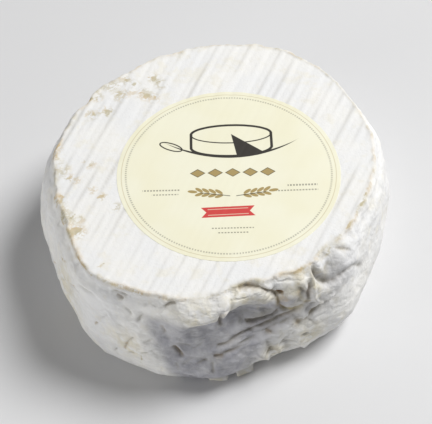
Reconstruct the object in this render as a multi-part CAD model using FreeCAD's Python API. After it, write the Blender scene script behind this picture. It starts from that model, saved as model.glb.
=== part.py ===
import FreeCAD, Part
import math
import os

# A whole wheel of triple cream cheese, lying on its flat base, with a round paper label on its
# top. The wheel is one soft piece: it has sagged out round its side, its front has slumped into
# a lip with a hollow under it, and its top keeps the ridges of the draining mat.
# Millimetres, +Z up. The origin is on the table, under the middle of the wheel's box.
# An azimuth is in degrees from the front (-Y), and grows towards +X.

# --- the wheel as a whole ---
HEIGHT = 67.0             # table to the label's seat
RIM_RADIUS = 85.5         # the top's edge, from the wheel's axis
SAG = 7.4                 # how far the soft side stands out past the edge, at its widest
SAG_HEIGHT_POWER = 0.7    # under 1 puts the widest part below half height
FOOT_TUCK = 4.8           # the side draws in again where it meets the table
FOOT_TUCK_HEIGHT = 6.8
RIM_ROUND = 8.6           # height over which the side turns into the top
RIM_INSET = 3.4           # how far it leans in over that height
RIM_POWER = 2.5

# --- where the outline has sagged out of round: azimuth, swelling, half-width in degrees ---
RIM_SWELLS = [
    (-87.0, 1.8, 43.0),
    (-43.0, 10.0, 14.0),
    (-17.0, 6.8, 21.0),
    (7.0, -4.3, 9.0),
    (50.0, -4.6, 40.0),
    (157.0, 7.4, 33.0),
]
SAG_SWELLS = [
    (-92.0, 3.4, 9.0),
    (-45.0, -5.4, 13.0),
    (4.0, 6.8, 9.0),
    (44.0, 5.6, 14.0),
    (103.0, 3.0, 9.0),
]

# --- folds of the side: azimuth, height as a share of HEIGHT, half-length, half-width,
#     slope in degrees, rise ---
FOLDS = [
    (-2.0, 0.87, 22.0, 5.5, 3.0, 3.4),        # lip of the slumped front
    (-9.0, 0.78, 8.0, 5.5, 0.0, 3.2),         # where the lip hangs lowest
    (6.0, 0.63, 25.0, 9.5, 12.0, -6.5),       # hollow under the lip
    (-23.0, 0.46, 19.0, 6.5, 105.0, 2.2),     # shoulder to the left of the hollow
    (0.0, 0.16, 26.0, 6.0, 0.0, 2.6),         # foot below the hollow
    (18.5, 0.88, 8.0, 3.4, 30.0, -3.6),       # crack where the lip ends
    (26.0, 0.90, 8.0, 4.0, 75.0, 3.6),        # first pleat
    (32.0, 0.84, 10.0, 3.6, 78.0, 4.4),       # second pleat
    (38.0, 0.88, 10.0, 3.6, 60.0, -5.0),      # tuck beside it
    (40.0, 0.73, 11.0, 3.6, 5.0, 3.2),        # skin that the tuck has pushed up
    (19.0, 0.64, 16.0, 3.4, 30.0, -3.4),      # slanting crease through the hollow
    (22.0, 0.52, 15.0, 3.4, 30.0, 2.4),       # ridge below it
    (30.0, 0.57, 12.0, 3.4, 38.0, -3.4),      # its neighbour
    (48.0, 0.82, 10.0, 5.0, 35.0, 2.2),       # puffed skin past the tuck
    (53.0, 0.57, 16.0, 4.0, 60.0, -2.8),      # long crease on the right
    (64.0, 0.72, 12.0, 4.0, 80.0, -1.8),      # a shorter one
    (14.0, 0.22, 7.0, 4.6, 90.0, 1.2),        # knobs at the foot
    (21.0, 0.18, 6.0, 4.6, 80.0, 1.2),
    (-84.0, 0.69, 17.0, 6.0, 20.0, -1.6),     # broad dents round the rest of the side
    (-58.0, 0.43, 19.0, 8.0, 70.0, 1.6),
    (-130.0, 0.63, 21.0, 7.0, -15.0, -2.0),
    (150.0, 0.66, 21.0, 6.0, 12.0, -2.2),
    (90.0, 0.43, 15.0, 6.0, 100.0, 1.8),
]

# --- ridges that the draining mat leaves on the top ---
RIDGE_PITCH = 8.6
RIDGE_UNEVEN = 0.07       # share by which a ridge is wider or narrower than the next
RIDGE_DEPTH = 0.8
RIDGE_ANGLE = 66.0        # from +X, seen from above
RIDGE_SHIFT = 0.5         # a groove's distance from the axis

# --- paper label, and the flat seat that the soft top makes under it ---
LABEL_DIAMETER = 120.0
LABEL_THICKNESS = 0.2
LABEL_X = 5.8
LABEL_Y = -8.6
SEAT_LIFT = 0.1           # the seat stands this far over the ridges

# --- torn flaps of rind at the foot: azimuth, width, how far they stick out ---
FLAPS = [
    (-1.4, 11.0, 4.8),
    (7.3, 10.5, 4.0),
]
FLAP_THICKNESS = 1.5
FLAP_ROOT = 8.0           # how far a flap runs back into the wheel
FLAP_SLOPE = 12.0
FLAP_LIFT = 0.8           # under side of a flap's outer edge, over the table

# --- fineness of the side's surface ---
COLUMNS = 108
ROWS = 22
OVERRUN = 5.0             # the surface runs on this far over the top's edge, to be trimmed
LEVEL = 1e-6              # an edge that rises less than this is level


def bell(distance, half_width):
    return math.exp(-(distance / half_width) ** 2)


def turn_from(azimuth, other):
    return (azimuth - other + 180.0) % 360.0 - 180.0


def swelling(azimuth, swells):
    return sum(rise * bell(turn_from(azimuth, at), width) for at, rise, width in swells)


def fold_rise(azimuth, z):
    total = 0.0
    for at, share, half_length, half_width, slope, rise in FOLDS:
        across = math.radians(turn_from(azimuth, at)) * (RIM_RADIUS + SAG)
        up = z - share * HEIGHT
        cosine = math.cos(math.radians(slope))
        sine = math.sin(math.radians(slope))
        along = across * cosine + up * sine
        aside = up * cosine - across * sine
        total += rise * bell(along, half_length) * bell(aside, half_width)
    return total


def side_radius(azimuth, z):
    """Radius of the side at a height, up to and past the top's edge."""
    share = min(z / HEIGHT, 1.0)
    sag = SAG + swelling(azimuth, SAG_SWELLS)
    stand_out = sag * math.sin(math.pi * share ** SAG_HEIGHT_POWER) ** 0.8
    tuck = FOOT_TUCK * max(1.0 - z / FOOT_TUCK_HEIGHT, 0.0) ** 2
    into_rim = max((z - HEIGHT + RIM_ROUND) / RIM_ROUND, 0.0)
    lean = RIM_INSET * (1.0 - into_rim ** RIM_POWER)
    return RIM_RADIUS + swelling(azimuth, RIM_SWELLS) + stand_out + lean - tuck + fold_rise(azimuth, z)


def round_the_axis(azimuth, radius, z):
    angle = math.radians(azimuth)
    return FreeCAD.Vector(radius * math.sin(angle), -radius * math.cos(angle), z)


def row_heights():
    """Rows lie closer together towards the foot and the rim."""
    last = HEIGHT + OVERRUN
    heights = [last * 0.5 * (1.0 - math.cos(math.pi * row / (ROWS - 1))) for row in range(ROWS)]
    even = [last * row / (ROWS - 1) for row in range(ROWS)]
    return [0.5 * (near + far) for near, far in zip(heights, even)]


def make_blank():
    """The wheel with its folded side, before its top is trimmed to ridges."""
    heights = row_heights()
    poles = []
    for column in range(COLUMNS):
        azimuth = 360.0 * column / COLUMNS
        poles.append([round_the_axis(azimuth, side_radius(azimuth, z), z) for z in heights])
    side = Part.BSplineSurface()
    around_knots = [float(knot) for knot in range(COLUMNS + 1)]
    up_knots = [float(knot) for knot in range(ROWS - 2)]
    side.buildFromPolesMultsKnots(
        poles,
        [1] * (COLUMNS + 1),
        [4] + [1] * (ROWS - 4) + [4],
        around_knots,
        up_knots,
        True,
        False,
        3,
        3,
    )
    wall = side.toShape()
    rims = [edge for edge in wall.Edges if edge.BoundBox.ZLength < LEVEL]
    skin = Part.Compound([wall] + [Part.Face(Part.Wire([rim])) for rim in rims])
    skin.sewShape()
    return Part.Solid(skin.Shells[0])


def make_ridged_slab():
    """All that lies under the ridged top: a slab scalloped by the mat, grooves at RIDGE_ANGLE."""
    reach = RIM_RADIUS * 1.5
    crest = HEIGHT - SEAT_LIFT
    count = math.ceil(reach / RIDGE_PITCH)
    grooves = []
    for number in range(-count, count + 1):
        uneven = RIDGE_UNEVEN * math.sin(2.1 * number) * RIDGE_PITCH
        grooves.append(number * RIDGE_PITCH + RIDGE_SHIFT + uneven)
    edges = []
    for left, right in zip(grooves, grooves[1:]):
        start = FreeCAD.Vector(left, -reach, crest - RIDGE_DEPTH)
        top = FreeCAD.Vector(0.5 * (left + right), -reach, crest)
        end = FreeCAD.Vector(right, -reach, crest - RIDGE_DEPTH)
        edges.append(Part.Arc(start, top, end).toShape())
    low_right = FreeCAD.Vector(grooves[-1], -reach, -1.0)
    low_left = FreeCAD.Vector(grooves[0], -reach, -1.0)
    edges.append(Part.makeLine(end, low_right))
    edges.append(Part.makeLine(low_right, low_left))
    edges.append(Part.makeLine(low_left, FreeCAD.Vector(grooves[0], -reach, crest - RIDGE_DEPTH)))
    slab = Part.Face(Part.Wire(edges)).extrude(FreeCAD.Vector(0, 2 * reach, 0))
    slab.rotate(FreeCAD.Vector(0, 0, 0), FreeCAD.Vector(0, 0, 1), RIDGE_ANGLE - 90.0)
    return slab


def make_seat():
    depth = RIDGE_DEPTH + SEAT_LIFT + 1.0
    return Part.makeCylinder(LABEL_DIAMETER / 2, depth, FreeCAD.Vector(LABEL_X, LABEL_Y, HEIGHT - depth))


def make_flap(azimuth, width, reach):
    """A thin torn piece of rind, rooted in the foot and sloping down outwards."""
    foot = side_radius(azimuth, FOOT_TUCK_HEIGHT / 2)
    flap = Part.makeBox(width, FLAP_ROOT + reach, FLAP_THICKNESS, FreeCAD.Vector(-width / 2, -reach, 0))
    flap.rotate(FreeCAD.Vector(0, -reach, 0), FreeCAD.Vector(1, 0, 0), FLAP_SLOPE)
    flap.translate(FreeCAD.Vector(0, -foot, FLAP_LIFT))
    flap.rotate(FreeCAD.Vector(0, 0, 0), FreeCAD.Vector(0, 0, 1), azimuth)
    return flap


def make_wheel():
    wheel = make_blank().common(make_ridged_slab())
    wheel = wheel.fuse([make_seat()] + [make_flap(*flap) for flap in FLAPS])
    return wheel


def make_label():
    return Part.makeCylinder(LABEL_DIAMETER / 2, LABEL_THICKNESS, FreeCAD.Vector(LABEL_X, LABEL_Y, HEIGHT))


def main():
    os.makedirs("parts", exist_ok=True)
    wheel = make_wheel()
    label = make_label()
    box = wheel.optimalBoundingBox(False, False)
    to_origin = FreeCAD.Vector(-box.Center.x, -box.Center.y, 0)
    for name, shape in (("cheese_wheel", wheel), ("top_label", label)):
        shape.translate(to_origin)
        shape.exportStep("parts/" + name + ".step")
        print(name, len(shape.Solids), "solid", round(shape.Volume / 1e6, 4), "litres", shape.isValid())
    print("moved", to_origin)


main()
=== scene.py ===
import math

import bpy
import numpy as np
from mathutils import Matrix, Vector, noise
from mathutils.bvhtree import BVHTree


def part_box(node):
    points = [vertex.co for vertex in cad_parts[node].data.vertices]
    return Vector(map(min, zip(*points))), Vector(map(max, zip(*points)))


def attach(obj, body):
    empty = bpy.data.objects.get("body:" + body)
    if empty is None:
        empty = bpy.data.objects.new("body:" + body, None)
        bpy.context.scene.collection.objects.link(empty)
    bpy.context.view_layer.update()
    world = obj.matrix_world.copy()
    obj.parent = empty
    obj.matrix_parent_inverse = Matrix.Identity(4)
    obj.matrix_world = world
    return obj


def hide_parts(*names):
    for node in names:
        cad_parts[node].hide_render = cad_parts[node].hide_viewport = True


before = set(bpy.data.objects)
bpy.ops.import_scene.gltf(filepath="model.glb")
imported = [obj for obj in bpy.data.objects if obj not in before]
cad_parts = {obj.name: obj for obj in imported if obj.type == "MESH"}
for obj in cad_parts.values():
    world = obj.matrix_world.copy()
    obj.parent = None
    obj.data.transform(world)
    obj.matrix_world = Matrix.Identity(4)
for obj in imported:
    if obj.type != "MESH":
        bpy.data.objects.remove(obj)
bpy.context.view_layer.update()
bpy.ops.object.select_all(action="DESELECT")


# --- Wheel: its form -------------------------------------------------------------------------
# A whole wheel of triple cream cheese, one soft piece that has sagged inside its skin of white
# mould. A drum is cut into level rings, and each ring is laid on the sagged form.
MM = 0.001
COLUMNS = 640
FRONT_SHARE = 0.25            # columns lie closer together at the slumped front
EDGE_HEIGHT = 66.0            # the side ends here and the top's rings begin
FOOT_HEIGHT = 6.0             # below this the side tucks in to the table
FOOT_TUCK = 4.2
SIDE_ROWS = 77
SIDE_STEP = 0.74
AXIS_INSET = 999.0            # more than any radius, so the ring closes on the axis
FIRST_INSET = 0.35            # the top's rings lie close together at its edge, and then spread
FIRST_STEP = 0.42
STEP_GROWTH = 0.036
EVEN_INSET = 26.0             # from here in they are evenly spaced
LAST_INSET = 48.0

# Each ring has a height, and how far in it lies from the side.
foot_rows = [(height, 0.0) for height in (0.0, 0.3, 0.8, 1.5, 2.3, 3.1, 3.9, 4.7, 5.4)]
side_rows = [(FOOT_HEIGHT + SIDE_STEP * step, 0.0) for step in range(SIDE_ROWS)]
edge_rows = [(height, 0.0) for height in (62.5, 63.1, 63.7, 64.3, 64.9, 65.5, EDGE_HEIGHT)]
base_rows = [(0.0, inset) for inset in (AXIS_INSET, 52.0, 30.0, 14.0, 6.0, 2.4, 0.9)]
top_rows = []
inset = FIRST_INSET
while inset < LAST_INSET:
    top_rows.append((EDGE_HEIGHT, inset))
    inset += FIRST_STEP + min(inset, EVEN_INSET) * STEP_GROWTH
top_rows.append((EDGE_HEIGHT, AXIS_INSET))
rows = base_rows + foot_rows + side_rows + edge_rows + top_rows
foot_row = len(base_rows)
edge_row = len(base_rows + foot_rows + side_rows + edge_rows) - 1


def ringed_drum(name, columns, ring_count):
    """A closed drum cut into level rings, and the ring and column that each point belongs to.

    It is made tiny, because each of its points is given its place later.
    """
    bpy.ops.mesh.primitive_cylinder_add(vertices=columns, radius=MM, depth=MM, end_fill_type="TRIFAN")
    drum = bpy.context.object
    drum.name = name
    bpy.ops.object.mode_set(mode="EDIT")
    bpy.ops.mesh.select_mode(type="EDGE")
    bpy.ops.mesh.select_all(action="DESELECT")
    bpy.ops.object.mode_set(mode="OBJECT")
    points = drum.data.vertices
    for edge in drum.data.edges:
        low, high = (points[number].co.z for number in edge.vertices)
        edge.select = abs(high - low) > 0.5 * MM
    bpy.ops.object.mode_set(mode="EDIT")
    bpy.ops.mesh.subdivide_edgering(number_cuts=ring_count - 4, interpolation="LINEAR")
    bpy.ops.object.mode_set(mode="OBJECT")
    x, y, z = read_places(drum).T
    ring = np.rint((z + 0.5) * (ring_count - 3)).astype(int) + 1
    middle = np.hypot(x, y) < 0.5
    ring[middle] = np.where(z[middle] > 0.0, ring_count - 1, 0)
    return drum, ring, np.rint(np.arctan2(x, -y) / math.tau * columns).astype(int) % columns


def read_places(piece):
    places = np.empty(len(piece.data.vertices) * 3, dtype=np.float32)
    piece.data.vertices.foreach_get("co", places)
    return places.reshape(-1, 3).astype(float) / MM


def write_places(piece, places):
    piece.data.vertices.foreach_set("co", (places * MM).astype(np.float32).ravel())
    piece.data.update()


wheel, ring, column = ringed_drum("wheel", COLUMNS, len(rows))
wheel_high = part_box("cheese_wheel")[1] / MM
turn = np.arange(COLUMNS) / COLUMNS * math.tau
turn = np.where(turn > math.pi, turn - math.tau, turn)
azimuth = turn - FRONT_SHARE * np.sin(turn)          # from the front, growing towards +X
outward = np.stack([np.sin(azimuth), -np.cos(azimuth)], axis=1)

cad_wheel = BVHTree.FromObject(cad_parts["cheese_wheel"], bpy.context.evaluated_depsgraph_get())
FAR = 200.0                   # well outside the wheel


def cad_radius(direction, height):
    """The radius of the CAD wheel's side in a direction from its axis."""
    start = Vector((direction[0] * FAR, direction[1] * FAR, height)) * MM
    distance = cad_wheel.ray_cast(start, Vector((-direction[0], -direction[1], 0.0)))[3]
    return FAR - distance / MM


def blur(field, along=1, up=1):
    """Evens a field out over its neighbours, round the wheel and up its side."""
    for _ in range(along):
        field = 0.25 * np.roll(field, 1, 1) + 0.5 * field + 0.25 * np.roll(field, -1, 1)
    for _ in range(up):
        padded = np.concatenate([field[:1], field, field[-1:]])
        field = 0.25 * padded[:-2] + 0.5 * field + 0.25 * padded[2:]
    return field


def ramp(value, low, high):
    """0 below low, 1 above high, and smooth between them."""
    share = np.clip((value - low) / (high - low), 0.0, 1.0)
    return share * share * (3.0 - 2.0 * share)


def wander(x, y, z, size, seed):
    """Smooth noise of about one wave to each size, at every place of the arrays."""
    places = np.stack([np.ravel(x), np.ravel(y), np.ravel(z)], axis=1) / size + 7.3 * seed
    found = [noise.noise(Vector(place)) for place in places]
    return np.array(found).reshape(np.shape(x))


RIM_WAVES = ((1.3, 10.0, 21), (0.9, 4.6, 22))     # rise, size and seed of the rim's unevenness
NECK_DEPTH = 1.7              # the plain part of the side draws in a little under the rim
NECK_HEIGHT = 61.0
NECK_SPREAD = 3.2

radius = np.zeros((len(rows), COLUMNS))
level = np.tile(np.array([height for height, inset in rows])[:, None], (1, COLUMNS))
inset_of = np.array([inset for height, inset in rows])
for row in range(foot_row, edge_row + 1):
    height = rows[row][0]
    radius[row] = [cad_radius(direction, max(height, FOOT_HEIGHT)) for direction in outward]
    radius[row] -= FOOT_TUCK * max(1.0 - height / FOOT_HEIGHT, 0.0) ** 2
side_rings = slice(foot_row, edge_row + 1)
side_heights = level[side_rings, :1]
rim_x, rim_y = 80.0 * outward.T        # near the rim's own radius
rim_wave = 0.0
for rise, size, seed in RIM_WAVES:
    rim_wave = rim_wave + rise * wander(rim_x, rim_y, 0.0 * azimuth, size, seed)
slumps_from = ramp(azimuth, math.radians(-16.0), math.radians(-8.0))
slumps_to = 1.0 - ramp(azimuth, math.radians(52.0), math.radians(66.0))
neck = np.exp(-((side_heights - NECK_HEIGHT) / NECK_SPREAD) ** 2)
neck = NECK_DEPTH * (1.0 - slumps_from * slumps_to) * neck
radius[side_rings] = blur(radius[side_rings], 3, 1) + ramp(side_heights, 52.0, EDGE_HEIGHT) * rim_wave - neck
for row in range(len(rows)):
    if row < foot_row:
        radius[row] = np.maximum(radius[foot_row] - inset_of[row], 0.0)
    elif row > edge_row:
        radius[row] = np.maximum(radius[edge_row] - inset_of[row], 0.0)

# --- Wheel: the mat's ridges on its top --------------------------------------------------------
# The wheel drained on a slatted mat, which left broad crowned ridges and narrow grooves of uneven
# depth. They run right over the top and notch its far edge.
SEAT_LIFT = 0.1                       # the CAD wheel's top is the label's seat, this far over the ridges
TOP_LEVEL = wheel_high.z - SEAT_LIFT
RIDGE_PITCH = 8.6
RIDGE_ANGLE = math.radians(66.0)      # from +X, seen from above
RIDGE_SHIFT = 0.5
RIDGE_FAN = 0.0006                    # the ridges spread a little towards the far side
MAT_OFFSET = 2.6                      # from the wheel's axis to the middle of the mat's fan
GROOVE_WIDTH = 0.95
GROOVE_DEPTH = 0.25
CROWN = 0.2                           # a ridge's edges lie this far under its middle
EDGE_ROUND = 1.1                      # how far in the top is still rising from its edge
SWELL = 0.35                          # the whole top's broad unevenness
SWELL_SIZE = 38.0


def mat_print(x, y):
    """How far the mat has pressed the top in at each place, and how much of that is groove."""
    across = x * math.sin(RIDGE_ANGLE) - y * math.cos(RIDGE_ANGLE) - MAT_OFFSET
    along = x * math.cos(RIDGE_ANGLE) + y * math.sin(RIDGE_ANGLE)
    across = across * (1.0 - RIDGE_FAN * along)
    across = across + 0.7 * wander(across * 0.6, along * 0.35, 0.0 * x, 21.0, 1)
    place = (across - RIDGE_SHIFT) / RIDGE_PITCH
    number = np.rint(place)
    off = (place - number) * RIDGE_PITCH
    uneven = wander(number * 9.7, along * 0.33, 0.0 * x, 10.0, 2)
    strength = np.clip(0.55 + 0.25 * np.cos(math.pi * number) + 1.3 * uneven, 0.05, 1.3)
    groove = strength * np.exp(-np.abs(off / GROOVE_WIDTH) ** 1.6)
    beside = np.abs(off) - 0.5 * RIDGE_PITCH
    uneven = wander(number * 5.1, along * 0.3, 0.0 * x, 8.0, 3)
    faint = np.clip(0.2 + 0.5 * uneven, 0.0, 0.5) * np.exp(-(beside / 0.8) ** 2)
    crown = CROWN * (0.55 + 0.9 * ramp(y, -10.0, 80.0)) * (off / (0.5 * RIDGE_PITCH)) ** 2
    return GROOVE_DEPTH * (groove + faint) + crown, np.clip(groove + 0.6 * faint, 0.0, 1.0)


x = radius * outward[:, 0]
y = radius * outward[:, 1]
pressed, groove = mat_print(x, y)
for row in range(edge_row + 1, len(rows)):
    risen = 1.0 - max(1.0 - inset_of[row] / EDGE_ROUND, 0.0) ** 2.2
    level[row] = EDGE_HEIGHT + risen * (TOP_LEVEL - EDGE_HEIGHT - pressed[row])
level[edge_row + 1:] += SWELL * wander(x, y, 0.0 * x, SWELL_SIZE, 4)[edge_row + 1:]
level[-1] = TOP_LEVEL - 2.0            # the top's middle lies hidden under the label
level[-2] -= 1.0
run_out = np.abs(outward @ np.array([math.cos(RIDGE_ANGLE), math.sin(RIDGE_ANGLE)])) ** 2
fade = ramp(level, 55.0, EDGE_HEIGHT)
fade[edge_row + 1:] = 1.0
notch = 1.3 * fade * run_out * pressed[edge_row]
notch[:foot_row] = 0.0
radius = np.maximum(radius - notch, 0.0)

# --- Wheel: folds and creases of its skin ------------------------------------------------------
# The front has slumped: the skin hangs in a lip with a hollow under it, is pleated beside that, and
# has cracked. Each stroke works on the skin laid flat, in degrees round and millimetres up, where
# heights past the top's edge run on inwards over the top.
SKIN_RADIUS = 97.0
ARC = math.radians(1.0) * SKIN_RADIUS   # millimetres to a degree
around = np.tile(np.degrees(azimuth) * ARC, (len(rows), 1))
reach_up = np.array([height + inset for height, inset in rows])
reach_up[:foot_row] = -inset_of[:foot_row]
upwards = np.tile(reach_up[:, None], (1, COLUMNS))
push = np.zeros_like(around)            # outwards along the skin
droop = np.zeros_like(around)           # straight down
folded = np.zeros_like(around)          # how deep in a fold a place is, for the colour
cracked = np.zeros_like(around)


def from_place(azimuth_at, height_at):
    """How far round and how far up the skin lies from a place on it."""
    full = 360.0 * ARC
    return (around - azimuth_at * ARC + 0.5 * full) % full - 0.5 * full, upwards - height_at


def spot(azimuth_at, height_at, half_length, half_width, slope=0.0, edge=2.0):
    """A rounded patch that is 1 in its middle; a higher edge makes its border sharper."""
    across, up = from_place(azimuth_at, height_at)
    slope = math.radians(slope)
    along = (across * math.cos(slope) + up * math.sin(slope)) / half_length
    aside = (up * math.cos(slope) - across * math.sin(slope)) / half_width
    return np.exp(-((along ** 2 + aside ** 2) ** (0.5 * edge))), aside


def line(azimuth_from, height_from, azimuth_to, height_to, bow):
    """Distance from a bowed line, positive on its upper side, and a weight that ends with it."""
    if azimuth_to < azimuth_from:
        azimuth_from, height_from, azimuth_to, height_to = azimuth_to, height_to, azimuth_from, height_from
    run = (azimuth_to - azimuth_from) * ARC
    climb = height_to - height_from
    across, up = from_place(azimuth_from, height_from)
    share = (across * run + up * climb) / (run ** 2 + climb ** 2)
    inside = np.clip(4.0 * share * (1.0 - share), 0.0, 1.0)
    aside = (up * run - across * climb) / math.hypot(run, climb) - bow * inside
    return aside, np.sqrt(inside)


def lobe(azimuth_at, height_at, half_length, half_width, slope, rise, sag=0.0, edge=2.0):
    """Raises a rounded lump, or sinks a hollow, and lets its lower half sag."""
    shape, aside = spot(azimuth_at, height_at, half_length, half_width, slope, edge)
    push[:] += rise * shape
    droop[:] += sag * shape * ramp(-aside, -0.6, 0.7)


def crease(azimuth_from, height_from, azimuth_to, height_to, bow, width, depth, lift=0.3, crack=0.0):
    """Draws a valley along a bowed line, and lifts the skin on its upper side over it."""
    aside, taper = line(azimuth_from, height_from, azimuth_to, height_to, bow)
    valley = taper * np.exp(-np.abs(aside / width) ** 1.6)
    raised = taper * np.exp(-((aside - 2.0 * width) / (1.4 * width)) ** 2)
    push[:] += lift * depth * raised - depth * valley
    droop[:] += 0.45 * lift * depth * raised
    folded[:] = np.maximum(folded, min(depth / 2.0, 1.0) * valley)
    cracked[:] = np.maximum(cracked, crack * valley)


# Lumps and hollows: azimuth, height, half-length, half-width, slope, rise, sag, sharpness of edge.
for lump in (
    (-5.3, 61.3, 8.6, 4.3, 0.0, 2.6, 2.2, 3.4),        # the lip where it hangs lowest
    (-5.0, 49.6, 8.4, 5.4, 0.0, -3.8, 0.0, 2.4),       # and the hollow under it
    (5.5, 62.6, 9.5, 2.4, -3.0, 1.7, 0.9, 2.4),        # the lip's roll, which runs to the right
    (16.4, 55.5, 9.0, 3.2, -56.0, 1.7, 0.5, 2.6),      # and then down
    (6.5, 51.5, 9.5, 7.5, 0.0, -4.4, 0.0, 2.8),
    (12.0, 40.4, 13.0, 1.8, 4.0, 1.2, 0.4, 2.0),
    (25.0, 53.0, 3.6, 7.2, 0.0, 1.9, 0.0, 2.8),        # knobs between the crack and the pleat
    (28.6, 62.8, 3.4, 2.0, 0.0, 1.0, 0.3, 2.4),
    (29.0, 50.5, 1.8, 3.6, 0.0, 0.8, 0.0, 2.4),
    (43.0, 59.6, 10.5, 4.6, -4.0, 1.3, 0.5, 2.8),      # smooth roll past the pleat
    (44.5, 46.5, 5.0, 5.0, -30.0, -0.9, 0.0, 2.0),
    (52.0, 40.0, 4.6, 9.0, -20.0, -1.1, 0.0, 2.0),
    (36.2, 58.6, 6.2, 2.0, -62.0, -2.4, 0.0, 2.4),      # the tuck's dark wedge
    (4.0, 7.0, 17.0, 4.6, 0.0, -1.3, 0.0, 2.4),
    (31.0, 41.5, 3.6, 5.4, 0.0, -1.8, 0.0, 2.4),       # pit under the pleat
    (40.0, 19.0, 21.0, 12.5, 8.0, 1.3, 0.0, 2.6),      # smooth lower side on the right
    (13.6, 19.0, 6.4, 2.4, -62.0, 1.2, 0.0, 2.0),      # soft folds that run down to the foot
    (19.0, 18.5, 5.0, 2.8, -75.0, 1.1, 0.2, 2.0),
    (25.4, 20.0, 7.0, 2.0, -82.0, 0.6, 0.0, 2.0),
    (29.0, 14.0, 9.0, 2.6, -70.0, 0.7, 0.0, 2.0),
    (13.2, 8.0, 4.0, 5.0, 0.0, -1.8, 0.0, 2.2),
    (21.6, 10.0, 4.4, 5.0, 0.0, -1.7, 0.0, 2.2),
    (29.0, 3.0, 24.0, 3.0, 6.0, -2.4, 0.0, 2.6),       # undercut where the foot leaves the table
    (-10.0, 8.0, 7.0, 5.0, 0.0, -1.2, 0.0, 2.0),
    (-22.0, 46.0, 6.0, 9.0, -20.0, 0.9, 0.0, 2.0),
    (-30.0, 40.0, 6.0, 8.0, 30.0, 0.7, 0.0, 2.0),
    (-41.0, 30.0, 8.0, 9.0, 0.0, 0.7, 0.0, 2.0),
    (-26.0, 28.0, 5.0, 7.0, 10.0, 0.7, 0.0, 2.0),
):
    lobe(*lump)

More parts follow.
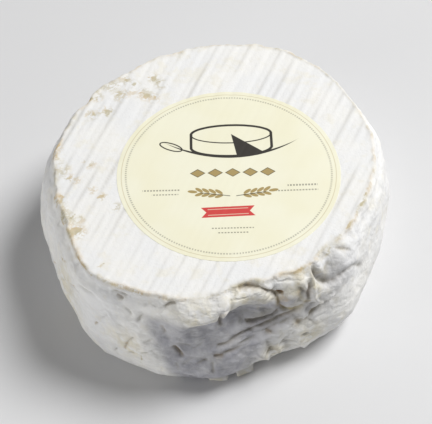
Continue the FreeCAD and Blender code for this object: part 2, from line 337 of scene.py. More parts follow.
# Creases: from azimuth and height, to azimuth and height, bow, width, depth, lift, crack.
for valley in (
    (0.7, 61.0, 1.2, 46.0, 0.4, 1.0, 2.4, 0.3, 0.15),     # notch that ends the lip's lowest part
    (7.0, 65.9, 15.5, 63.6, 0.5, 0.9, 1.7, 0.6, 0.3),     # between the top and the lip's roll
    (15.0, 63.8, 18.6, 59.4, 0.4, 0.9, 1.7, 0.5, 0.3),
    (18.4, 60.0, 20.4, 55.6, 0.2, 0.9, 1.6, 0.4, 0.3),
    (20.0, 58.8, 22.6, 56.8, 0.2, 1.0, 2.2, 0.4, 1.0),    # torn crack, brown inside
    (20.2, 56.0, 20.8, 49.0, 0.2, 0.8, 1.2, 0.3, 0.45),
    (20.6, 49.5, 23.4, 44.0, -0.5, 0.8, 1.2, 0.3, 0.3),
    (9.0, 42.6, 21.0, 43.6, -0.5, 1.6, 2.5, 0.7, 0.2),
    (14.6, 43.6, 18.6, 43.0, 0.0, 1.2, 1.2, 0.4, 0.3),
    (2.8, 36.4, 13.4, 37.8, 0.5, 1.2, 1.5, 0.6, 0.1),
    (12.6, 37.4, 20.4, 39.6, -0.5, 1.2, 1.6, 0.6, 0.1),
    (19.4, 39.2, 28.2, 43.6, 0.5, 0.9, 1.6, 0.6, 0.15),
    (14.0, 34.6, 20.0, 37.4, -0.4, 0.8, 1.0, 0.4, 0.0),
    (19.6, 36.6, 25.0, 40.6, -0.3, 0.8, 1.0, 0.4, 0.0),
    (-0.6, 34.6, 5.2, 35.2, 0.3, 0.8, 1.1, 0.4, 0.1),
    (-1.6, 29.2, 1.6, 29.0, 0.0, 1.3, 1.7, 0.4, 0.3),
    (0.8, 30.4, 7.4, 30.8, 0.3, 1.0, 1.3, 0.5, 0.1),
    (3.0, 33.0, 12.0, 33.4, -0.5, 0.8, 0.9, 0.4, 0.0),
    (15.4, 34.6, 17.6, 33.0, 0.0, 0.9, 1.3, 0.3, 0.35),
    (25.0, 38.0, 27.6, 31.6, 0.3, 2.1, 1.5, 0.3, 0.12),
    (27.0, 61.2, 30.2, 51.6, 0.4, 1.3, 1.8, 0.4, 0.1),
    (31.2, 60.0, 30.4, 49.0, 0.2, 1.0, 1.9, 0.3, 0.35),
    (29.2, 47.6, 31.0, 46.6, 0.0, 1.0, 1.4, 0.3, 0.4),
    (22.6, 44.4, 29.0, 45.6, -0.6, 0.9, 1.3, 0.5, 0.1),
    (33.7, 65.0, 35.4, 57.4, 0.3, 1.7, 2.4, 0.4, 0.1),    # tuck beside the pleat
    (35.0, 58.6, 38.0, 52.4, -0.6, 1.6, 2.0, 0.5, 0.0),
    (36.8, 52.6, 45.0, 54.2, -0.6, 1.5, 1.0, 0.5, 0.05),
    (44.0, 54.2, 49.6, 52.4, 0.4, 1.2, 1.1, 0.7, 0.0),
    (48.6, 53.0, 53.4, 44.0, 0.8, 1.7, 1.0, 0.6, 0.0),
    (52.6, 45.6, 56.2, 37.6, 0.4, 1.8, 0.9, 0.5, 0.0),
    (45.4, 64.6, 50.6, 60.4, 0.3, 0.9, 1.2, 0.4, 0.15),
    (28.0, 32.4, 31.4, 34.4, 0.0, 1.3, 0.8, 0.2, 0.1),
    (30.4, 34.6, 35.0, 39.4, 0.3, 1.0, 1.4, 0.2, 0.1),
    (34.0, 39.0, 40.0, 42.8, 0.3, 1.0, 1.1, 0.2, 0.0),
    (15.4, 30.0, 16.6, 19.0, 0.3, 1.7, 0.8, 0.1, 0.0),
    (21.8, 28.0, 22.6, 15.0, -0.9, 2.2, 0.8, 0.1, 0.0),
    (24.4, 29.0, 24.9, 20.0, 0.4, 1.4, 0.5, 0.1, 0.0),
    (16.6, 14.0, 17.8, 5.0, 0.4, 1.3, 0.6, 0.1, 0.0),
    (-1.9, 27.0, -1.7, 14.0, 0.2, 1.1, 1.0, 0.2, 0.0),
    (-6.6, 22.4, -2.8, 27.4, 0.3, 1.1, 0.9, 0.4, 0.0),
    (-13.3, 36.4, -10.4, 28.0, 0.3, 1.1, 2.3, 0.4, 0.3),
    (-16.2, 61.6, -12.4, 64.8, 0.7, 0.9, 1.5, 0.4, 0.2),
    (-16.6, 52.4, -15.4, 45.6, 0.2, 1.0, 0.9, 0.3, 0.1),
    (-33.0, 63.0, -27.6, 62.0, 0.4, 0.9, 1.1, 0.4, 0.1),
    (-31.6, 61.2, -29.0, 60.0, 0.0, 0.8, 1.0, 0.3, 0.3),
    (-22.0, 57.0, -23.8, 49.6, 0.3, 1.1, 1.0, 0.3, 0.0),
    (-28.0, 57.0, -25.6, 53.4, 0.3, 1.0, 0.8, 0.3, 0.0),
    (-12.4, 24.0, -12.0, 15.6, 0.2, 1.0, 0.7, 0.2, 0.0),
    (-28.3, 22.6, -26.4, 34.4, 0.4, 0.8, 0.7, 0.3, 0.2),
    (-26.4, 34.0, -24.6, 38.6, 0.2, 0.7, 0.6, 0.3, 0.1),
    (-27.6, 20.0, -25.0, 24.0, 0.3, 0.7, 0.7, 0.3, 0.2),
    (-38.8, 30.8, -37.4, 35.4, 0.2, 0.9, 0.7, 0.3, 0.2),
    (-46.0, 52.0, -38.0, 55.0, 0.6, 1.2, 0.7, 0.4, 0.0),
    (-52.0, 40.0, -45.0, 46.0, 0.6, 1.2, 0.7, 0.4, 0.0),
):
    crease(*valley)

# Crests: from azimuth and height, to azimuth and height, bow, width, and height as a negative depth.
for crest in (
    (33.8, 65.6, 32.2, 56.0, 0.2, 1.0, -1.5),             # crest of the pleat, like a J
    (32.2, 57.6, 32.2, 48.6, 0.2, 1.0, -1.5),
    (32.0, 50.0, 34.2, 42.6, -0.3, 1.0, -1.5),
    (33.4, 43.6, 37.4, 41.6, -1.2, 1.0, -1.3),
    (36.6, 41.6, 39.6, 45.6, -0.3, 1.1, -1.4),
    (-30.2, 45.0, -23.2, 52.0, 0.5, 1.4, -0.8),
    (-20.6, 46.4, -17.0, 38.0, 0.5, 1.4, -0.7),
    (-24.0, 44.0, -21.6, 32.0, 0.5, 1.4, -0.6),
    (-35.0, 50.0, -30.0, 43.0, 0.5, 1.4, -0.6),
    (10.0, 44.8, 14.8, 46.2, 0.3, 1.0, -1.0),
    (20.8, 33.6, 26.0, 36.6, 0.3, 1.0, -0.8),
    (11.6, 23.5, 14.8, 16.6, -0.4, 1.1, -1.2),            # and of the folds at the foot
    (14.5, 17.4, 16.8, 4.6, 0.6, 1.1, -1.2),
    (18.2, 23.0, 20.0, 13.6, 0.7, 1.3, -0.9),
    (25.2, 24.0, 26.3, 12.0, 0.4, 1.0, -0.6),
    (27.4, 19.0, 30.6, 4.0, -0.7, 1.2, -0.7),
    (27.4, 30.6, 33.0, 35.4, 0.4, 1.0, -0.7),
):
    crease(*crest, 0.0)

# Small wrinkles all the way round, deeper at the slumped front.
WRINKLES = 300
wrinkles = np.random.default_rng(11)
for _ in range(WRINKLES):
    at = wrinkles.uniform(-180.0, 180.0)
    slumped = math.exp(-((at - 10.0) / 24.0) ** 2)
    height_at = wrinkles.uniform(6.0, 60.0)
    length = wrinkles.uniform(4.0, 12.0)
    slope = math.radians(wrinkles.normal(20.0, 40.0))
    end = (at + length * math.cos(slope) / ARC, height_at + length * math.sin(slope))
    width = wrinkles.uniform(0.7, 1.5)
    depth = wrinkles.uniform(0.2, 0.6) * (0.8 + 0.5 * slumped)
    bow = wrinkles.normal(0.0, 0.8)
    if wrinkles.random() < 0.6:
        crease(at, height_at, *end, bow, width, depth, 0.35)
    else:
        crease(at, height_at, *end, bow, width, -depth, 0.0)

# --- Wheel: the skin as laid on ----------------------------------------------------------------
# The strokes and a lumpy, felted unevenness are laid on along the skin's own outward direction.
place = np.stack([radius * outward[:, 0], radius * outward[:, 1], level], axis=2)


def skin_normals(place):
    """The skin's outward direction at each place."""
    ahead = np.roll(place, -1, 1) - np.roll(place, 1, 1)
    up = np.gradient(place, axis=0)
    normal = np.cross(ahead, up)
    return normal / np.maximum(np.linalg.norm(normal, axis=2, keepdims=True), 1e-9)


on_side = ramp(upwards, 1.0, 6.0) * (1.0 - ramp(upwards, EDGE_HEIGHT - 1.0, EDGE_HEIGHT + 3.0))
on_skin = ramp(upwards, -0.5, 3.0) * (1.0 - ramp(upwards, EDGE_HEIGHT + 6.0, EDGE_HEIGHT + 14.0))
x, y, z = np.moveaxis(place, 2, 0)
slumped = np.exp(-((np.degrees(azimuth) - 12.0) / 34.0) ** 2)
lumps = 0.7 * wander(x, y, z, 15.0, 5) + 0.45 * wander(x, y, z, 7.0, 6)
wrinkled = np.abs(wander(x, y, z * 1.5, 5.2, 7))
push += on_side * (lumps * (1.0 + 0.5 * slumped) + (0.35 + 0.5 * slumped) * (0.28 - wrinkled))
push += 0.13 * wander(x, y, z, 2.3, 8) * (0.45 + 0.55 * on_side)
edge_band = np.exp(-((upwards - EDGE_HEIGHT - 0.5) / 2.2) ** 2)
push += edge_band * (0.5 * wander(x, y, z, 5.0, 9) + 0.3 * wander(x, y, z, 2.6, 10))
normal = np.stack([blur(part, 3, 3) for part in np.moveaxis(skin_normals(place), 2, 0)], axis=2)
push[:foot_row] = 0.0
push *= on_skin + (1.0 - on_skin) * 0.4 * (upwards > EDGE_HEIGHT)
place = place + push[:, :, None] * normal
place[:, :, 2] -= droop * on_side
place[:foot_row + 1, :, 2] = 0.0
place[:, :, 2] = np.maximum(place[:, :, 2], 0.0)

# --- Wheel: torn flaps of skin at its foot ------------------------------------------------------
# Two thin flaps of rind stick out close over the table under the slumped front, a notch between them.
FLAPS = ((0.0, 5.3, 97.4, 0.02), (8.7, 5.2, 95.0, -0.2))    # azimuth, half-width, edge's radius, swing
FLAP_HEIGHT = 1.3
FLAP_HALF_THICKNESS = 0.9
flap_band = np.exp(-((upwards - FLAP_HEIGHT) / FLAP_HALF_THICKNESS) ** 4)
flaps = np.zeros_like(around)
for azimuth_at, half_width, edge, swing in FLAPS:
    across = from_place(azimuth_at, 0.0)[0]
    torn = 0.8 * wander(around * 0.5, 0.0 * around, 0.0 * around + azimuth_at, 2.0, 12)
    flap = flap_band * (1.0 - ramp(np.abs(across) + torn, half_width - 0.4, half_width + 0.4))
    reach = edge + swing * across + 0.5 * torn
    out = np.maximum(reach - np.hypot(place[:, :, 0], place[:, :, 1]), 0.0) * flap
    place[:, :, 0] += out * outward[:, 0]
    place[:, :, 1] += out * outward[:, 1]
    flaps = np.maximum(flaps, flap)

write_places(wheel, place[ring, column])

# --- Wheel: where its skin is coloured -----------------------------------------------------------
# Masks for the rind: painted shade in hollows, folds and grooves, partly the greyer crust there; crests and
# edges that handling has rubbed tan;
# cracks that show the brown under the bloom; and lavender-grey mould mixed with painted shade in the damp
# hollow of the front.
skin = skin_normals(place)
broad = np.stack([blur(part, 6, 6) for part in np.moveaxis(place, 2, 0)], axis=2)
standing = np.sum((place - broad) * skin, axis=2)          # above its surroundings, in millimetres
standing[:foot_row + 2] = 0.0
degrees = np.tile(np.degrees(azimuth), (len(rows), 1))


def stained(mask, patches):
    """A mask with rounded patches added: strength, and then what spot takes."""
    for strength, *patch in patches:
        mask = np.maximum(mask, strength * spot(*patch)[0])
    return mask


def streaked(mask, streaks):
    """A mask with bowed lines added: what line takes, and then width and strength."""
    for *course, width, strength in streaks:
        aside, taper = line(*course)
        mask = np.maximum(mask, strength * taper * np.exp(-(aside / width) ** 2))
    return mask


# Painted shade: places lower than their surroundings or deep in folds are darkened, partly the greyer crust
# of folds, and the listed patches darken the hollows under the lip, beside the crack and by the pleat.
hollow_grey_and_shade = stained(np.clip(ramp(-standing, 0.05, 0.75) + 0.9 * folded, 0.0, 1.0) * on_side, (
    (0.8, 7.5, 56.5, 8.5, 2.6, -4.0, 2.6),
    (0.8, 14.5, 46.0, 7.0, 2.4, 16.0, 2.6),
    (0.8, -5.5, 54.0, 7.0, 1.5, 0.0, 2.6),
    (0.8, 16.8, 42.4, 5.5, 1.9, -4.0, 2.6),
    (0.8, 16.4, 33.4, 2.4, 1.1, 0.0, 2.6),
    (0.8, 25.8, 38.0, 2.6, 1.6, 10.0, 2.6),
    (0.8, 27.6, 34.6, 1.5, 2.4, 0.0, 2.6),
    (0.8, 31.4, 36.2, 1.4, 1.4, 0.0, 2.6),
    (0.8, 30.4, 54.0, 1.4, 5.0, 0.0, 2.6),
    (0.8, 28.0, 57.0, 1.6, 4.6, 20.0, 2.6),
))
# Painted shade in the mat's grooves on the top.
groove_shade = 0.42 - 0.22 * ramp(-place[:, :, 1], 30.0, 70.0)       # fainter on the front of the top
hollow_grey_and_shade = np.maximum(hollow_grey_and_shade, groove_shade * groove * ramp(upwards, EDGE_HEIGHT, EDGE_HEIGHT + 2.0))
# Lavender-grey mould of the front's damp hollow, mixed with painted shade: the listed patches darken shaded
# places under the lip's roll, by the pleat's pit, past the pleat and in the tuck's wedge.
damp_and_shade = ramp(degrees + 0.16 * (upwards - 30.0), -19.5, -14.5)
damp_and_shade *= 1.0 - ramp(degrees - 0.5 * (upwards - 20.0), 5.0, 20.0)
damp_and_shade *= 1.0 - ramp(upwards, 52.0, 58.0)
damp_and_shade = (1.0 - flaps) * stained(damp_and_shade, (
    (0.8, 19.0, 38.5, 17.0, 5.5, 10.0, 3.0),
    (0.45, 14.0, 56.0, 8.0, 4.0, -40.0, 2.6),
    (0.7, 31.0, 42.0, 4.0, 7.0, 0.0, 2.6),
    (0.35, 43.0, 55.0, 14.0, 9.0, -10.0, 2.6),
    (0.6, 40.0, 52.5, 6.0, 2.2, 0.0, 2.6),
    (0.75, 36.4, 58.0, 6.0, 1.8, -62.0, 2.6),
))
rubbed = streaked(np.zeros_like(around), (
    (-64.0, 66.4, -50.0, 65.8, 0.0, 0.9, 0.8),         # along the top's edge
    (-52.0, 65.8, -36.0, 65.8, 0.0, 0.8, 0.8),
    (-38.0, 65.8, -20.0, 65.4, 0.3, 0.9, 1.0),
    (-22.0, 65.4, -9.0, 66.0, 0.0, 0.7, 0.6),
    (-10.0, 66.2, 9.0, 66.2, 0.0, 0.9, 0.5),
    (6.0, 66.4, 15.6, 64.4, 0.5, 0.8, 0.9),
    (15.0, 64.6, 19.8, 58.0, 0.5, 0.7, 0.7),
    (26.0, 65.8, 33.0, 66.0, 0.4, 0.8, 1.0),
    (33.0, 66.4, 40.6, 63.0, 0.2, 0.8, 0.9),
    (40.4, 63.0, 46.4, 66.4, -0.2, 0.8, 0.8),
    (49.0, 67.0, 60.0, 66.6, 0.2, 0.9, 0.9),
    (60.0, 66.6, 76.0, 67.4, 0.3, 1.3, 1.0),
    (-20.4, 57.0, -20.0, 44.0, 0.0, 0.6, 0.3),
    (19.8, 58.6, 22.8, 56.6, 0.2, 1.9, 0.9),
    (19.6, 57.0, 21.0, 48.0, 0.2, 1.2, 1.0),           # round the crack and the knobs
    (20.6, 49.0, 23.6, 44.2, -0.4, 0.8, 0.8),
    (23.0, 44.6, 28.6, 45.2, -0.5, 0.7, 0.7),
    (26.4, 63.0, 28.4, 61.4, 0.0, 1.0, 0.7),
    (-28.6, 21.6, -26.4, 34.8, 0.4, 0.7, 0.8),         # crackle on the left
    (-26.6, 33.6, -24.4, 39.0, 0.2, 0.6, 0.7),
    (-27.8, 19.6, -24.8, 24.4, 0.3, 0.8, 0.8),
    (-23.6, 10.6, -22.2, 29.0, 0.3, 0.8, 0.8),
    (-32.2, 24.4, -31.2, 29.4, 0.0, 0.7, 0.7),
    (-39.0, 30.4, -37.2, 36.0, 0.2, 0.8, 0.7),
    (-39.4, 38.4, -38.4, 41.4, 0.0, 0.8, 0.6),
    (-57.8, 7.0, -51.0, 20.0, 0.5, 1.2, 0.7),
    (-61.0, 28.0, -52.0, 44.0, 0.5, 1.6, 0.7),
    (-61.0, 45.6, -53.6, 53.4, 0.5, 1.3, 0.7),
    (-53.0, 38.0, -46.0, 50.0, 0.5, 1.0, 0.6),
    (-72.0, 20.0, -64.0, 34.0, 0.5, 1.4, 0.6),
    (-40.6, 67.0, -40.2, 76.0, 0.3, 1.0, 0.8),         # dribbles and patches on the top
    (-60.4, 69.8, -54.0, 70.2, 0.5, 1.8, 0.9),
    (-61.6, 73.0, -60.0, 75.0, 0.0, 1.0, 0.6),
))
# Flecks on the top: their places and sizes.
for at_x, at_y, size in (
    (-65, 51, 4), (-60, 39, 5), (-52, 52, 5), (-46, 55, 4), (-45, 60, 4), (-38, 52, 5), (-33, 49, 4),
    (-33, 65, 4), (-29, 60, 4), (-68, 37, 4), (-68, 51, 3), (-67, 59, 4), (-77, -9, 3),
    (-74, -11, 3), (-65, -18, 3), (-67, 1, 4), (-59, -23, 3), (-51, -30, 3), (-86, 13, 4), (-85, 6, 4),
    (-82, -3, 5), (-84, -25, 6), (-81, -34, 6), (-77, -38, 6), (-71, -46, 5), (-70, -38, 3), (-57, 60, 5),
    (-50, 64, 4),
):
    away = (place[:, :, 0] - at_x) ** 2 + (place[:, :, 1] - at_y) ** 2
    rubbed = np.maximum(rubbed, 0.85 * np.exp(-away / (1.4 * size ** 2)) * (upwards > EDGE_HEIGHT - 3.0))
# A tan line along the top's edge, wider on the left, and along the lip, the crack and the pleat.
edge_line = np.exp(-((upwards - EDGE_HEIGHT - 0.5) / (1.2 + 0.5 * ramp(-degrees, 30.0, 60.0))) ** 2)
edge_line *= 1.0 - 0.6 * np.exp(-((degrees + 4.0) / 7.0) ** 2)
edge_line = streaked(edge_line, (
    (7.0, 65.6, 16.0, 63.2, 0.4, 1.2, 1.0),
    (15.6, 63.6, 20.0, 57.8, 0.2, 1.0, 1.0),
    (19.6, 57.6, 20.8, 47.6, 0.2, 1.5, 1.3),
    (20.4, 49.0, 23.6, 43.8, -0.4, 1.3, 1.3),
    (23.0, 44.2, 28.8, 44.8, -0.5, 1.2, 1.2),
    (20.6, 56.0, 23.4, 52.0, 0.0, 2.2, 1.1),
    (26.6, 59.0, 28.6, 48.0, 0.3, 1.2, 1.0),
    (28.8, 49.0, 31.4, 45.6, 0.0, 1.4, 1.3),
    (30.6, 36.0, 33.0, 38.0, 0.0, 1.2, 1.0),
    (33.0, 64.6, 32.2, 50.0, 0.2, 1.2, 0.9),
    (13.4, 60.0, 13.8, 49.0, 0.3, 1.0, 0.8),
    (15.6, 20.4, 19.6, 15.8, 0.0, 1.6, 0.9),
    (26.0, 64.6, 33.4, 65.4, 0.3, 1.5, 1.2),
    (1.0, 59.6, 12.8, 60.0, 0.4, 0.9, 0.7),
    (25.2, 37.4, 27.2, 31.6, 0.2, 1.8, 0.9),
))
creamy = stained(flaps, (
    (1.0, -5.0, 61.0, 10.0, 6.0, 0.0, 3.0),
    (1.0, 8.0, 62.0, 14.0, 4.0, -4.0, 2.6),
    (1.0, 17.0, 55.0, 11.0, 5.0, -56.0, 2.6),
    (1.0, 27.0, 54.0, 7.0, 12.0, 0.0, 2.6),
    (1.0, 33.6, 52.0, 4.0, 12.0, 0.0, 2.4),
    (1.0, 38.0, 60.0, 7.0, 6.0, 0.0, 2.4),
    (1.0, 17.5, 19.0, 9.0, 7.0, 0.0, 2.4),
    (1.0, 30.0, 22.0, 9.0, 8.0, 0.0, 2.4),
    (1.0, -27.0, 28.0, 9.0, 11.0, 0.0, 2.4),
    (1.0, -56.0, 30.0, 12.0, 22.0, 0.0, 2.4),
))
painted = {
    "hollow_grey_and_shade": hollow_grey_and_shade,
    "damp_and_shade": damp_and_shade,
    "rubbed": rubbed,
    "cracked": cracked,
    "creamy": creamy,
    "edge_line": edge_line,
    "side": on_side,
    "slumped": np.exp(-((degrees - 9.0) / 22.0) ** 2) * on_side * (1.0 - 0.6 * damp_and_shade),
}
for name, field in painted.items():
    layer = wheel.data.attributes.new(name, "FLOAT", "POINT")
    layer.data.foreach_set("value", field[ring, column].astype(np.float32))
bpy.ops.object.shade_smooth()


class Wire:
    """A shader socket. Arithmetic on wires adds the Math nodes that work it out."""

    def __init__(self, tree, socket=None):
        self.tree = tree
        self.socket = socket

    def node(self, kind, settings, sockets, output=0):
        """Adds a node: its settings are set first, then its sockets are given values or wires."""
        made = self.tree.nodes.new(kind)
        for name, value in settings.items():
            setattr(made, name, value)
        for name, value in sockets.items():
            if isinstance(value, Wire):
                self.tree.links.new(value.socket, made.inputs[name])
            else:
                made.inputs[name].default_value = value
        return Wire(self.tree, made.outputs[output])

    def maths(self, operation, *terms):
        return self.node("ShaderNodeMath", {"operation": operation}, dict(enumerate(terms)))

    def __add__(self, other):
        return self.maths("ADD", self, other)

    def __sub__(self, other):
        return self.maths("SUBTRACT", self, other)

    def __rsub__(self, other):
        return self.maths("SUBTRACT", other, self)

    def __mul__(self, other):
        return self.maths("MULTIPLY", self, other)

    def __truediv__(self, other):
        return self.maths("DIVIDE", self, other)

    def __rtruediv__(self, other):
        return self.maths("DIVIDE", other, self)

    def __abs__(self):
        return self.maths("ABSOLUTE", self)

    __radd__ = __add__
    __rmul__ = __mul__

    def root(self):
        return self.maths("SQRT", self)

    def share(self):
        """What is left of this wire over the whole number below it."""
        return self.maths("FRACT", self)

    def within(self, other):
        """The larger of two distances, which is inside both shapes."""
        return self.maths("MAXIMUM", self, other)

    def joined(self, other):
        """The smaller of two distances, which is inside either shape."""
        return self.maths("MINIMUM", self, other)

    def ramp(self, low, high):
        """0 below low, 1 above high, and smooth between them."""
        limits = {"Value": self, "From Min": low, "From Max": high}
        return self.node("ShaderNodeMapRange", {"interpolation_type": "SMOOTHSTEP"}, limits)

    def tint(self, below, above):
        """A colour that goes from one to the other as this wire goes from 0 to 1."""
        return self.node("ShaderNodeMix", {"data_type": "RGBA"}, {0: self, 6: below, 7: above}, 2)

    def mask(self, name):
        return self.node("ShaderNodeAttribute", {"attribute_name": name}, {}, "Fac")

    def mottle(self, size, detail=3.0, roughness=0.6, stretch=None):
        """Noise of about one wave to each size, from 0 to 1."""
        where = self
        if stretch:
            where = self.node("ShaderNodeMapping", {}, {"Vector": self, "Scale": stretch})
        values = {"Vector": where, "Scale": 1.0 / size, "Detail": detail, "Roughness": roughness}
        return self.node("ShaderNodeTexNoise", {}, values)


def new_material(name, roughness):
    material = bpy.data.materials.new(name)
    material.use_nodes = True
    shader = material.node_tree.nodes["Principled BSDF"]
    shader.inputs["Roughness"].default_value = roughness
    start = Wire(material.node_tree)
    return material, shader, start, start.node("ShaderNodeTexCoord", {}, {}, "Object")


WHITE_BLOOM = (0.92, 0.91, 0.88, 1.0)
COOL_BLOOM = (0.88, 0.88, 0.875, 1.0)
CREAM_BLOOM = (0.87, 0.84, 0.75, 1.0)
CREAM = (0.80, 0.75, 0.60, 1.0)
# The damp grey is mould mixed with painted shade; the fold olive is painted shade in hollows, folds and
# wrinkles.
DAMP_GREY_AND_SHADE = (0.345, 0.345, 0.385, 1.0)
FOLD_OLIVE_AND_SHADE = (0.30, 0.28, 0.23, 1.0)
SHADE_GREY = (0.70, 0.70, 0.71, 1.0)
RUBBED_TAN = (0.64, 0.50, 0.29, 1.0)
RUBBED_OLIVE = (0.54, 0.48, 0.31, 1.0)
CRACK_BROWN = (0.30, 0.17, 0.06, 1.0)

rind, shader, start, where = new_material("rind", 0.82)
side = start.mask("side")
slumped_here = start.mask("slumped")
blotches = where.mottle(9 * MM)
specks = where.mottle(6 * MM)
crinkle = abs(where.mottle(12 * MM, 3.0, 0.5, (1.0, 1.0, 2.2)) - 0.5)
# The bloom, white to cream; grey mould mixed with painted shade in the damp hollow; painted shade in the
# folds and fine wrinkles, and painted shade grey mottled over the side.
colour = where.mottle(24 * MM).ramp(0.35, 0.65).tint(WHITE_BLOOM, COOL_BLOOM)
colour = (blotches.ramp(0.5, 0.72) * 0.7).tint(colour, CREAM_BLOOM)
colour = (start.mask("creamy") * specks.ramp(0.35, 0.6) * 0.85).tint(colour, CREAM)
# Mould and painted shade: the damp hollow of the front is greyed.
damp_and_shade_here = start.mask("damp_and_shade") * (0.72 + 0.28 * blotches.ramp(0.35, 0.6))
colour = (damp_and_shade_here * 0.92).tint(colour, DAMP_GREY_AND_SHADE)
# Painted shade in hollows, folds and grooves, partly the greyer crust there.
colour = (start.mask("hollow_grey_and_shade") * 0.72).tint(colour, FOLD_OLIVE_AND_SHADE)
# Painted shade along the fine wrinkles, stronger on the slumped front.
crinkle_shade_lines = crinkle.ramp(0.06, 0.0) * (0.07 * side + 0.22 * slumped_here)
colour = crinkle_shade_lines.tint(colour, FOLD_OLIVE_AND_SHADE)
colour = (side * where.mottle(14 * MM).ramp(0.48, 0.68) * 0.4).tint(colour, SHADE_GREY)
# Tan where the bloom is rubbed off, in veins, in patches and along edges, and brown in the crack.
tan = where.mottle(13 * MM, 2.0, 0.5).ramp(0.4, 0.6).tint(RUBBED_TAN, RUBBED_OLIVE)
rubbed_here = start.mask("rubbed")
veins = abs(where.mottle(11 * MM, 5.0, 0.7) - 0.5).ramp(0.05, 0.02) * rubbed_here.ramp(0.2, 0.7)
patches = (rubbed_here + 2.8 * (specks - 0.5)).ramp(0.78, 1.02)
patches = patches * rubbed_here.ramp(0.1, 0.5)
colour = (veins * 0.5).tint(colour, tan)
colour = (patches * 0.8).tint(colour, tan)
edge_here = start.mask("edge_line") * (0.25 + 0.75 * where.mottle(6 * MM, 4.0, 0.7).ramp(0.4, 0.62))
colour = (edge_here * 0.62).tint(colour, tan)
colour = start.mask("cracked").tint(colour, CRACK_BROWN)
# The felt of the bloom, and the finest wrinkles.
felt = 0.7 * where.mottle(1.1 * MM, 4.0, 0.65) + 0.5 * where.mottle(3.5 * MM, 2.0, 0.5)
felt = felt - crinkle.ramp(0.1, 0.0) * (0.4 * side + slumped_here)
felt = felt + side * where.mottle(6 * MM, 2.0, 0.5) * 2.0
bump = start.node("ShaderNodeBump", {}, {"Height": felt, "Strength": 0.5, "Distance": 0.7 * MM}, "Normal")
rind.node_tree.links.new(colour.socket, shader.inputs["Base Color"])
rind.node_tree.links.new(bump.socket, shader.inputs["Normal"])
wheel.data.materials.append(rind)
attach(wheel, "root")
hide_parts("cheese_wheel")

# --- Label ---------------------------------------------------------------------------------------
# A round pale yellow paper label, stuck on the damp top, so that it follows the ridges a little.
LABEL_COLUMNS = 240
LABEL_RINGS = 40
PAPER = 0.12                           # its thickness
GLUE = 0.03
STUCK_MIDDLE = 0.3                     # the middle follows the grooves by this share, the edge all the way
STUCK_RIM = 9.0                        # how far in from the edge that changes
label_low, label_high = (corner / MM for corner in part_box("top_label"))
label_middle = (label_low + label_high) * 0.5
label_radius = 0.5 * (label_high.x - label_low.x)
label, ring, column = ringed_drum("label", LABEL_COLUMNS, 2 * LABEL_RINGS)
upper = ring >= LABEL_RINGS
from_middle = np.where(upper, 2 * LABEL_RINGS - 1 - ring, ring) / (LABEL_RINGS - 1) * label_radius
turn = column / LABEL_COLUMNS * math.tau
x = label_middle.x + from_middle * np.sin(turn)
y = label_middle.y - from_middle * np.cos(turn)
pressed = mat_print(x, y)[0]
stuck = STUCK_MIDDLE + (1.0 - STUCK_MIDDLE) * ramp(from_middle, label_radius - STUCK_RIM, label_radius - 1.0)
lie = TOP_LEVEL + GLUE - stuck * pressed + SWELL * wander(x, y, 0.0 * x, SWELL_SIZE, 4)
write_places(label, np.stack([x, y, lie + PAPER * upper], axis=1))
bpy.ops.object.shade_smooth_by_angle(angle=math.radians(40))

# Its print is a made-up design: a cut wheel over a swash, a row of lozenges, two ears of wheat, a
# small ribbon and dashed lines. Each shape is a distance in millimetres, turned into ink.
PAPER_CREAM = (0.90, 0.87, 0.66, 1.0)
PAPER_PALE = (0.92, 0.90, 0.72, 1.0)
INK_DARK = (0.030, 0.026, 0.020, 1.0)
INK_GOLD = (0.42, 0.31, 0.12, 1.0)
INK_RED = (0.66, 0.055, 0.05, 1.0)

paper_material, shader, start, where = new_material("label_paper", 0.6)
colour = where.mottle(30 * MM, 2.0, 0.5).ramp(0.3, 0.7).tint(PAPER_CREAM, PAPER_PALE)
right = where.node("ShaderNodeSeparateXYZ", {}, {0: where}, "X") / MM - label_middle.x
far = where.node("ShaderNodeSeparateXYZ", {}, {0: where}, "Y") / MM - label_middle.y


def turned(at_right, at_far, degrees, sideways=right):
    """The print's two directions, measured from a place and turned."""
    cosine = math.cos(math.radians(degrees))
    sine = math.sin(math.radians(degrees))
    across = (sideways - at_right) * cosine + (far - at_far) * sine
    along = (far - at_far) * cosine - (sideways - at_right) * sine
    return across, along


def oval(at_right, at_far, half_width, half_height, degrees=0.0, sideways=right):
    across, along = turned(at_right, at_far, degrees, sideways)
    across, along = across / half_width, along / half_height
    reach = (across * across + along * along).root()
    across, along = across / half_width, along / half_height
    return reach * (reach - 1.0) / (across * across + along * along).root()


def bar(at_right, at_far, half_width, half_height, degrees=0.0, sideways=right):
    across, along = turned(at_right, at_far, degrees, sideways)
    return (abs(across) - half_width).within(abs(along) - half_height)


def outline(shape, half_thickness):
    return abs(shape) - half_thickness


def ink(shape, ink_colour, share=1.0):
    return (shape.ramp(0.14, -0.14) * share).tint(colour, ink_colour)


# A cut wheel, seen from above its front, with the opening of the cut in solid ink.
face = oval(2.0, 27.5, 22.0, 6.6)
body = face.joined(oval(2.0, 18.0, 22.0, 6.6)).joined(bar(2.0, 22.7, 22.0, 4.8))
cut = turned(2.0, 27.5, -38.0)[1].within(0.0 - turned(2.0, 27.5, -80.0)[1]).within(body + 0.3)
colour = ink(outline(body, 0.75), INK_DARK)
colour = ink(outline(face, 0.4), INK_DARK)
colour = ink(cut, INK_DARK)
# A swash under it, thick in its middle, with a curl at one end.
swash = oval(2.0, 70.0, 60.0, 60.0).within(0.0 - oval(2.0, 81.8, 69.8, 69.8)).within(far - 30.0)
curl = outline(oval(-31.0, 19.2, 6.5, 2.4, -24.0), 0.4)
colour = ink(swash.joined(curl), INK_DARK)
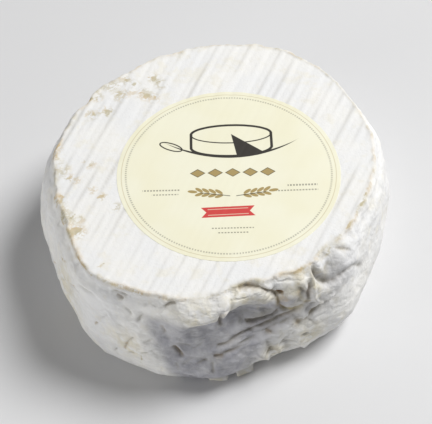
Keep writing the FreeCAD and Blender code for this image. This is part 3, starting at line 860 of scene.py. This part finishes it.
# A row of gold lozenges with dark edges.
cell = (((right + 21.3) / 9.4).share() - 0.5) * 9.4
lozenge = (abs(cell) * 0.62 + abs(far + 0.5) * 0.86 - 2.5).within(bar(2.2, -0.5, 23.5, 6.0))
colour = ink(lozenge, INK_GOLD)
colour = ink(outline(lozenge + 0.1, 0.22), INK_DARK, 0.75)
# Two ears of wheat, mirrored.
either_side = abs(right - 2.0)
stalks = bar(9.5, -15.6, 8.0, 0.28, 9.0, either_side)
grains = oval(21.5, -13.4, 2.6, 1.0, 8.0, either_side)
for at_right, at_far in ((7.5, -15.4), (11.0, -14.9), (14.5, -14.4), (18.0, -13.9)):
    grains = grains.joined(oval(at_right, at_far + 1.5, 2.4, 1.0, 38.0, either_side))
    grains = grains.joined(oval(at_right, at_far - 1.5, 2.4, 1.0, -22.0, either_side))
colour = ink(grains, INK_GOLD)
colour = ink(stalks, INK_DARK, 0.8)
# A red ribbon with forked ends and a pale line along it.
across, along = turned(-1.0, -27.5, 2.0)
ribbon = (abs(across) - 14.0).within(abs(along) - 3.4).within(abs(across) - abs(along) * 0.8 - 11.4)
colour = ink(ribbon, INK_RED)
colour = ink((abs(abs(along) - 1.9) - 0.2).within(abs(across) - 10.6), PAPER_CREAM, 0.7)
# Short dashed lines, and a dashed ring inside a thin gold one.
dashes = ((right * 0.62).share() - 0.62) * 1.6
lines = bar(-36.0, -12.0, 10.0, 0.5)
for at_right, at_far, half_width, half_height in (
    (-34.0, -15.0, 7.0, 0.4),
    (39.0, -10.5, 8.0, 0.6),
    (36.0, -14.0, 11.0, 0.45),
    (1.0, -38.5, 11.0, 0.4),
    (1.0, -41.5, 8.0, 0.4),
):
    lines = lines.joined(bar(at_right, at_far, half_width, half_height))
colour = ink(lines.within(dashes), INK_DARK, 0.6)
from_middle = (right * right + far * far).root()
round_it = right.maths("ARCTAN2", right, far)
ring_dashes = ((round_it * 37.0).share() - 0.6 - 0.5 * (where.mottle(4 * MM, 2.0, 0.5) - 0.5)) * 1.5
colour = ink((abs(from_middle - 55.2) - 0.5).within(ring_dashes), INK_DARK, 0.4)
colour = ink(abs(from_middle - 57.6) - 0.2, INK_GOLD, 0.45)
paper_material.node_tree.links.new(colour.socket, shader.inputs["Base Color"])
label.data.materials.append(paper_material)
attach(label, "root")
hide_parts("top_label")

# --- Table, light and camera ---------------------------------------------------------------------
# A plain pale table top, a large soft lamp behind on the right, a weak one low on the left, and an
# even sky.
bpy.ops.mesh.primitive_plane_add(size=4.0)
table = bpy.context.object
table.name = "table"
table_material, shader, start, where = new_material("table", 0.6)
shader.inputs["Base Color"].default_value = (0.72, 0.72, 0.725, 1.0)
table.data.materials.append(table_material)


def add_lamp(name, azimuth_from, elevation, distance, size, power):
    """A round soft lamp that looks at the wheel from a direction given in degrees."""
    out = math.cos(math.radians(elevation)) * distance
    up = math.sin(math.radians(elevation)) * distance
    angle = math.radians(azimuth_from)
    place = Vector((out * math.sin(angle), -out * math.cos(angle), up))
    bpy.ops.object.light_add(type="AREA", location=place)
    lamp = bpy.context.object
    lamp.name = name
    lamp.data.shape = "DISK"
    lamp.data.size = size
    lamp.data.energy = power
    lamp.rotation_euler = (-place).to_track_quat("-Z", "Y").to_euler()


add_lamp("window", azimuth_from=112.0, elevation=55.0, distance=3.0, size=1.5, power=90.0)
add_lamp("reflector", azimuth_from=-58.0, elevation=10.0, distance=1.5, size=0.7, power=7.0)

sky = bpy.data.worlds.new("sky")
sky.use_nodes = True
sky.node_tree.nodes["Background"].inputs["Color"].default_value = (1.0, 1.0, 1.0, 1.0)
sky.node_tree.nodes["Background"].inputs["Strength"].default_value = 0.165
bpy.context.scene.world = sky

CAMERA_ELEVATION = math.radians(50.91)
CAMERA_DISTANCE = 626.1
CAMERA_ROLL = math.radians(-1.53)
AIM_LEFT = 7.34               # the camera looks at a point to the left of the label's middle, and nearer
AIM_NEAR = 27.52
aim = Vector((label_middle.x - AIM_LEFT, label_middle.y - AIM_NEAR, wheel_high.z))
back = Vector((0.0, -math.cos(CAMERA_ELEVATION), math.sin(CAMERA_ELEVATION)))
bpy.ops.object.camera_add(location=(aim + CAMERA_DISTANCE * back) * MM)
camera = bpy.context.object
camera.name = "camera"
camera.data.lens = 100.0
camera.data.sensor_width = 36.0
look = (-back).to_track_quat("-Z", "Y") @ Matrix.Rotation(CAMERA_ROLL, 3, "Z").to_quaternion()
camera.rotation_euler = look.to_euler()
bpy.context.scene.camera = camera
bpy.context.scene.view_settings.view_transform = "Standard"
